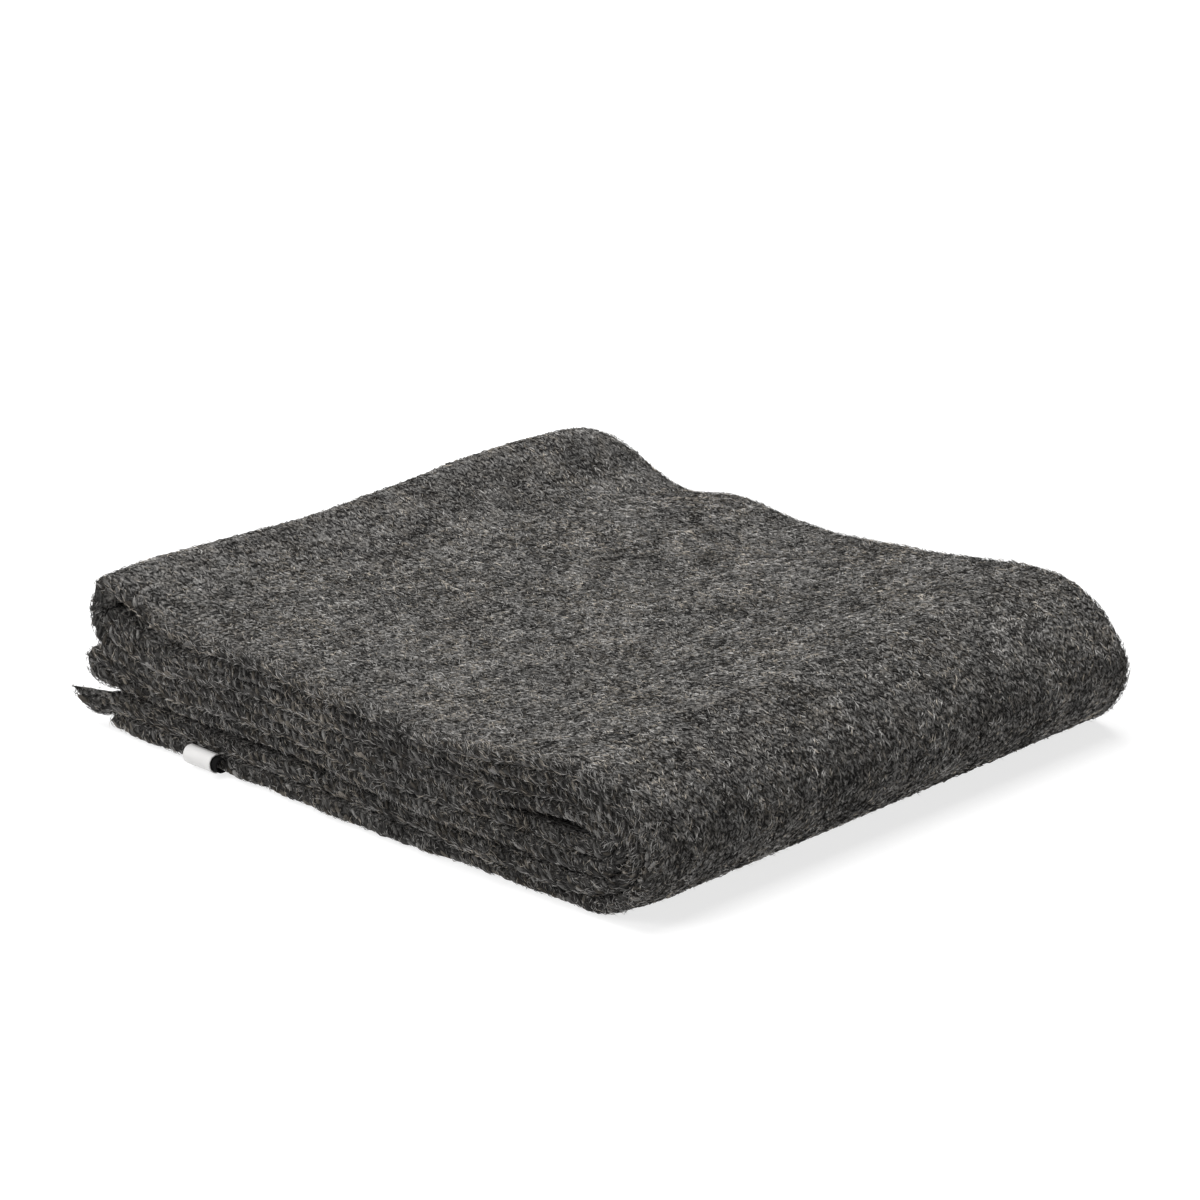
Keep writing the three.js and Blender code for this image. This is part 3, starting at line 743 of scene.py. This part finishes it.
def nap(name, zones, carrier, shares=TONE_SHARES):
    """Fibres of the nap over some zones of the strip.

    A zone is start, stop, from and to across, side, strands a leg, and loose fibres a square millimetre.
    """
    spots = []
    for start, stop, low, high, side, strands, density in zones:
        loose = loose_spots(start, stop, low, high, side, density)
        on_chain = np.minimum(loose[:, 1], ROUND_WIDTH - loose[:, 1]) < EDGE_ARC * CHAIN_REACH
        lying = edge_slant(loose[:, 1], side) + rng.normal(0, CHAIN_TURN, len(loose))
        loose[:, 3] = np.where(on_chain & (rng.random(len(loose)) < ON_CHAIN_SHARE), lying, loose[:, 3])
        spots.append(loose)
        if strands:
            spots.append(leg_spots(start, stop, low, high, side, strands))
    s, w, side, angle, tone = np.concatenate(spots).T
    at, along, across, out = frames(s, w, side)
    count = len(s)
    on_edge = smooth(2 - np.minimum(w, ROUND_WIDTH - w) / EDGE_ARC)
    stray = rng.random(count) < STRAY_SHARE + MORE_STRAYS_ON_EDGE * on_edge
    rise = np.where(stray, rng.uniform(*STRAY_RISE, count), np.abs(rng.normal(*LYING_RISE, count)))
    length = np.where(stray, rng.uniform(*STRAY_LENGTH, count), rng.lognormal(*LYING_LENGTH, count))
    length = length * np.where(stray, 1, 1 - SHORTER_ON_EDGE * on_edge)
    stray_thick = rng.uniform(*STRAY_THICK, count)
    lying_thick = rng.uniform(*LYING_THICK, count) * (1 - THINNER_ON_EDGE * on_edge)
    thick = np.where(stray, stray_thick, lying_thick)
    flat = along * np.cos(angle)[:, None] + across * np.sin(angle)[:, None]
    aim = unit(flat * np.cos(rise)[:, None] + out * np.sin(rise)[:, None])
    aside = unit(np.cross(aim, out))
    up = np.cross(aside, aim)
    bend = aside * rng.normal(0, FIBRE_BEND, count)[:, None] + up * rng.uniform(0.0, FIBRE_BEND, count)[:, None]
    root_out = rng.uniform(*ROOT_HEIGHT, count) + OUT_ON_EDGE * on_edge
    root = at + out * root_out[:, None] - aim * (length * FIBRE_MIDDLE)[:, None]
    x, y, z = FIBRE_POINTS[:, 0], FIBRE_POINTS[:, 1], FIBRE_POINTS[:, 2]
    points = (
        root[:, None]
        + (aim * length[:, None])[:, None] * z[None, :, None]
        + (aside * thick[:, None])[:, None] * x[None, :, None]
        + (up * thick[:, None])[:, None] * y[None, :, None]
        + (bend * length[:, None])[:, None] * (np.abs(z - FIBRE_MIDDLE) < 0.1)[None, :, None]
    )
    at_x, at_y = at[:, 0], at[:, 1]
    patch = np.sin(at_x / 6.1 + 2 * np.sin(at_y / 11)) * np.sin(at_y / 5.3 + 2 * np.sin(at_x / 14))
    value = LEG_TONE * tone + FIBRE_TONE * rng.random(count) + PATCH_TONE * patch + STRAY_TONE * stray
    kinds = np.searchsorted(np.quantile(value, np.cumsum(shares)[:-1]), value)
    warmth = WARM_PATCH * np.sin(at_x / 9.7 + 1.0) * np.sin(at_y / 12.1) + rng.normal(0, WARM_SPREAD, count)
    kinds = kinds + len(TONES) * (warmth > BROWN_FROM)
    above = points[..., 2].min(1) > CLEAR_OF_FLOOR
    points, kinds = points[above], kinds[above]
    faces = FIBRE_FACES[None, :, ::-1] + (np.arange(len(points)) * len(FIBRE_POINTS))[:, None, None]
    made = make_mesh(name, points.reshape(-1, 3), [faces.reshape(-1, 3)], None, FIBRES,
                     np.repeat(kinds, len(FIBRE_FACES)))
    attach(made, "root")
    naps.setdefault(carrier, []).append(made)


naps = {}
half = ROUND_WIDTH / 2
top_start, top_stop = SPANS["run1"][0], length_at("run1", 100.0)
front_start, front_stop = length_at("run8", -90.0), SPANS["run1"][0]
back_stop = cut_on["run4"]
end_start = length_at("run7", 108.0)

# Strands a leg and loose fibres a square millimetre, in full view and less well seen
FULL_NAP, BACK_NAP, THIN_NAP = (3, 0.25), (2, 0.15), (1, 0.15)
nap("nap_top_left", [(top_start, top_stop, 0, half, 1, *FULL_NAP)], "front_turn_and_top")
nap("nap_top_right", [(top_start, top_stop, half, ROUND_WIDTH, 1, *FULL_NAP)], "front_turn_and_top")
nap("nap_front", [(front_start, front_stop, 0, ROUND_WIDTH, 1, *FULL_NAP)], "front_turn_and_top",
    FRONT_SHARES)
nap("nap_back_turn", [(top_stop, back_stop, 0, ROUND_WIDTH, 1, *BACK_NAP)], "front_turn_and_top")
nap("nap_back_folds", [
    (cut_on["run5"], cut_on["run6"], 0, ROUND_WIDTH, 1, *BACK_NAP),
    (end_start, TOTAL, 0, ROUND_WIDTH, 1, *BACK_NAP),
    (end_start, TOTAL, 0, ROUND_WIDTH, -1, *THIN_NAP),
    (0, 8, 0, ROUND_WIDTH, -1, *THIN_NAP)], "low_back_fold")
EDGE_DEEP = 5.0
SELVEDGE_NAPS = [("nap_left_selvedge", 0.0, 1.2), ("nap_right_selvedge", ROUND_WIDTH - EDGE_DEEP, 0.55)]
for name, side_low, density in SELVEDGE_NAPS:
    nap(name, [(0, TOTAL, side_low, side_low + EDGE_DEEP, side, 0, density) for side in (1, -1)],
        "inner_turn_6_to_2", EDGE_SHARES)

# The chains of slanted grains along the selvedges


def one_grain():
    """One grain of the chain, 1 in half length, half width and half height."""
    bpy.ops.object.select_all(action="DESELECT")
    bpy.ops.mesh.primitive_uv_sphere_add(segments=6, ring_count=4, radius=1)
    grain = bpy.context.object
    bpy.ops.object.mode_set(mode="EDIT")
    bpy.ops.mesh.select_all(action="SELECT")
    bpy.ops.mesh.quads_convert_to_tris()
    bpy.ops.object.mode_set(mode="OBJECT")
    points = np.array([v.co for v in grain.data.vertices])[:, [2, 0, 1]]
    faces = np.array([list(p.vertices) for p in grain.data.polygons])
    bpy.data.objects.remove(grain)
    return points, faces


GRAIN_POINTS, GRAIN_FACES = one_grain()
GRAIN_PITCH, GRAIN_JITTER, GRAIN_TURN, GRAIN_REACH = 3.3, 0.3, 0.16, 0.48
GRAIN_LONG, GRAIN_WIDE, GRAIN_HIGH, GRAIN_SUNK = (1.7, 2.4), (0.5, 0.75), (0.85, 1.2), (0.45, 0.95)


def chain(name, at_selvedge, carrier):
    """Two rows of slanted grains along a whole selvedge, one row on each face of the cloth's rounded edge."""
    rows = []
    for side in (1, -1):
        s = np.arange(1.5, TOTAL - 1.5, GRAIN_PITCH) + (GRAIN_PITCH / 2 if side > 0 else 0)
        count = len(s)
        s = np.clip(s + rng.normal(0, GRAIN_JITTER, count), 0.5, TOTAL - 0.5)
        reach = EDGE_ARC * GRAIN_REACH + rng.normal(0, GRAIN_JITTER, count)
        w = reach if at_selvedge == 0 else ROUND_WIDTH - reach
        rows.append(np.stack([s, w, np.full(count, side)], 1))
    s, w, side = np.concatenate(rows).T
    at, along, across, out = frames(s, w, side)
    count = len(s)
    slant = edge_slant(w, side) + rng.normal(0, GRAIN_TURN, count)
    aim = along * np.cos(slant)[:, None] + across * np.sin(slant)[:, None]
    aside = np.cross(aim, out)
    long, wide, high = (rng.uniform(*span, count) for span in (GRAIN_LONG, GRAIN_WIDE, GRAIN_HIGH))
    centre = at - out * rng.uniform(*GRAIN_SUNK, count)[:, None]
    x, y, z = GRAIN_POINTS.T
    points = (
        centre[:, None]
        + (aim * long[:, None])[:, None] * x[None, :, None]
        + (aside * wide[:, None])[:, None] * y[None, :, None]
        + (out * high[:, None])[:, None] * z[None, :, None]
    )
    points[..., 2] = np.maximum(points[..., 2], CLEAR_OF_FLOOR)
    faces = GRAIN_FACES[None] + (np.arange(count) * len(GRAIN_POINTS))[:, None, None]
    faces = faces.reshape(-1, 3)
    if volume_of(points.reshape(-1, 3), [faces]) < 0:
        faces = faces[:, ::-1]
    kinds = rng.choice(len(RIBS), count, p=RIB_SHARES)
    made = make_mesh(name, points.reshape(-1, 3), [faces], None, RIBS, np.repeat(kinds, len(GRAIN_FACES)))
    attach(made, "root")
    naps.setdefault(carrier, []).append(made)


chain("left_selvedge_chain", 0, "inner_turn_6_to_2")
chain("right_selvedge_chain", 1, "inner_turn_6_to_2")

# The label

SEWN_IN, LABEL_ROOT, THREAD, RIBBON_WALL = 1.3, -113.75, 0.35, 0.4
LABEL_SWAY, LABEL_SKEW = 0.10, 0.16


def ribbon(name, low, high, out, start, stop, node, finish):
    """A ribbon folded into a loop, with its two ends sewn to the selvedge."""
    radius = (high - low) / 2
    bend = out + radius
    angles = np.linspace(-math.pi / 2, math.pi / 2, 25)
    turn = [(bend - radius * math.cos(a), low + radius + radius * math.sin(a)) for a in angles]
    profile = np.array([(LABEL_ROOT, low)] + turn + [(LABEL_ROOT, high)])
    ys = np.linspace(start, stop, 21)
    grid = np.zeros((len(profile), len(ys), 3))
    for j, y in enumerate(ys):
        sway = LABEL_SWAY * math.sin((y - start) * 0.5) * (profile[:, 0] < LABEL_ROOT)
        skew = LABEL_SKEW * (profile[:, 1] - 3.5)
        grid[:, j, 0], grid[:, j, 1], grid[:, j, 2] = profile[:, 0] + sway, y + skew, profile[:, 1]
    ids = np.arange(grid.shape[0] * grid.shape[1]).reshape(grid.shape[:2])
    faces = np.stack([ids[:-1, :-1], ids[:-1, 1:], ids[1:, 1:], ids[1:, :-1]], -1).reshape(-1, 4)
    run = np.concatenate([[0], np.cumsum(np.linalg.norm(np.diff(profile, axis=0), axis=1))])
    uv = np.stack(np.broadcast_arrays(run[:, None] / THREAD, ys[None, :] / THREAD), -1).reshape(-1, 2)
    made = make_mesh(name, grid.reshape(-1, 3), [faces], uv, [finish])
    wall = made.modifiers.new("wall", "SOLIDIFY")
    wall.thickness, wall.offset = RIBBON_WALL * MM, 0.0
    bpy.ops.object.select_all(action="DESELECT")
    made.select_set(True)
    bpy.context.view_layer.objects.active = made
    bpy.ops.object.modifier_apply(modifier="wall")
    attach(made, "root")
    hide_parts(node)


# The loops lie a little further along than their solids, as the photograph shows them
WHITE_FROM, BLACK_FROM, LOOPS_TO = LABEL_FROM + 3.6, LABEL_FROM + 1.2, LABEL_TO + 1.7
ribbon("white_label_loop", 0.8, 6.2, -117.8, WHITE_FROM, LOOPS_TO, "label_white", WHITE_RIBBON)
ribbon("black_label_loop", 1.5, 5.5, -117.1, BLACK_FROM, LOOPS_TO, "label_black", BLACK_RIBBON)

for name, start, stop, *_ in LENGTHS:
    (stop - start) * MM

# Floor, light and camera

bpy.ops.object.select_all(action="DESELECT")
bpy.ops.mesh.primitive_plane_add(size=16, location=(0, 0, -0.0006))
floor = bpy.context.object
floor.name = "pale_floor"
f = Finish("pale_floor")
speck = f.noise(f.node("ShaderNodeTexCoord").outputs["Object"], 30.0, 2.0)
floor.data.materials.append(f.surface({
    "Base Color": f.blend(speck, grey(0.31), grey(0.33)), "Roughness": 0.9, "Specular IOR Level": 0.1,
    "Emission Color": (1, 1, 1, 1), "Emission Strength": 0.75}))

world = bpy.data.worlds.new("studio")
bpy.context.scene.world = world
world.use_nodes = True
world.node_tree.nodes["Background"].inputs["Color"].default_value = (1, 1, 1, 1)
world.node_tree.nodes["Background"].inputs["Strength"].default_value = 0.12


def soft_light(name, place, aim, size, power):
    lamp = bpy.data.lights.new(name, "AREA")
    lamp.shape, lamp.size, lamp.energy = "SQUARE", size, power
    made = bpy.data.objects.new(name, lamp)
    bpy.context.scene.collection.objects.link(made)
    made.location = place
    made.rotation_mode = "QUATERNION"
    made.rotation_quaternion = (Vector(aim) - Vector(place)).to_track_quat("-Z", "Y")


soft_light("overhead", (0.05, 0.30, 1.5), (0, 0, 0), 1.5, 38.5)
soft_light("left_fill", (-1.3, 0.4, 1.0), (0, 0, 0), 0.8, 16)
soft_light("low_fill", (0.7, -1.2, 0.32), (0, 0, 0.02), 0.5, 0.9)

# The photograph's camera, in stack millimetres, fitted to the folded scarf's outline
AZIMUTH, ELEVATION = math.radians(-45.49), math.radians(21.12)
DISTANCE, ASIDE, ABOVE, FOCAL, SENSOR = 1730.6, -6.54, 39.77, 165.09, 36.0
level = math.cos(ELEVATION)
back = Vector((math.sin(AZIMUTH) * level, -math.cos(AZIMUTH) * level, math.sin(ELEVATION)))
right = Vector((math.cos(AZIMUTH), math.sin(AZIMUTH), 0))
up = back.cross(right)
camera = bpy.data.objects.new("camera", bpy.data.cameras.new("camera"))
bpy.context.scene.collection.objects.link(camera)
camera.data.sensor_width, camera.data.lens = SENSOR, FOCAL
camera.data.clip_start, camera.data.clip_end = 0.05, 50
place = back * DISTANCE + right * ASIDE + up * ABOVE
camera.matrix_world = Matrix.Translation(to_frame(place)) @ Matrix((right, up, back)).transposed().to_4x4()
bpy.context.scene.camera = camera
bpy.context.scene.view_settings.view_transform = "Standard"
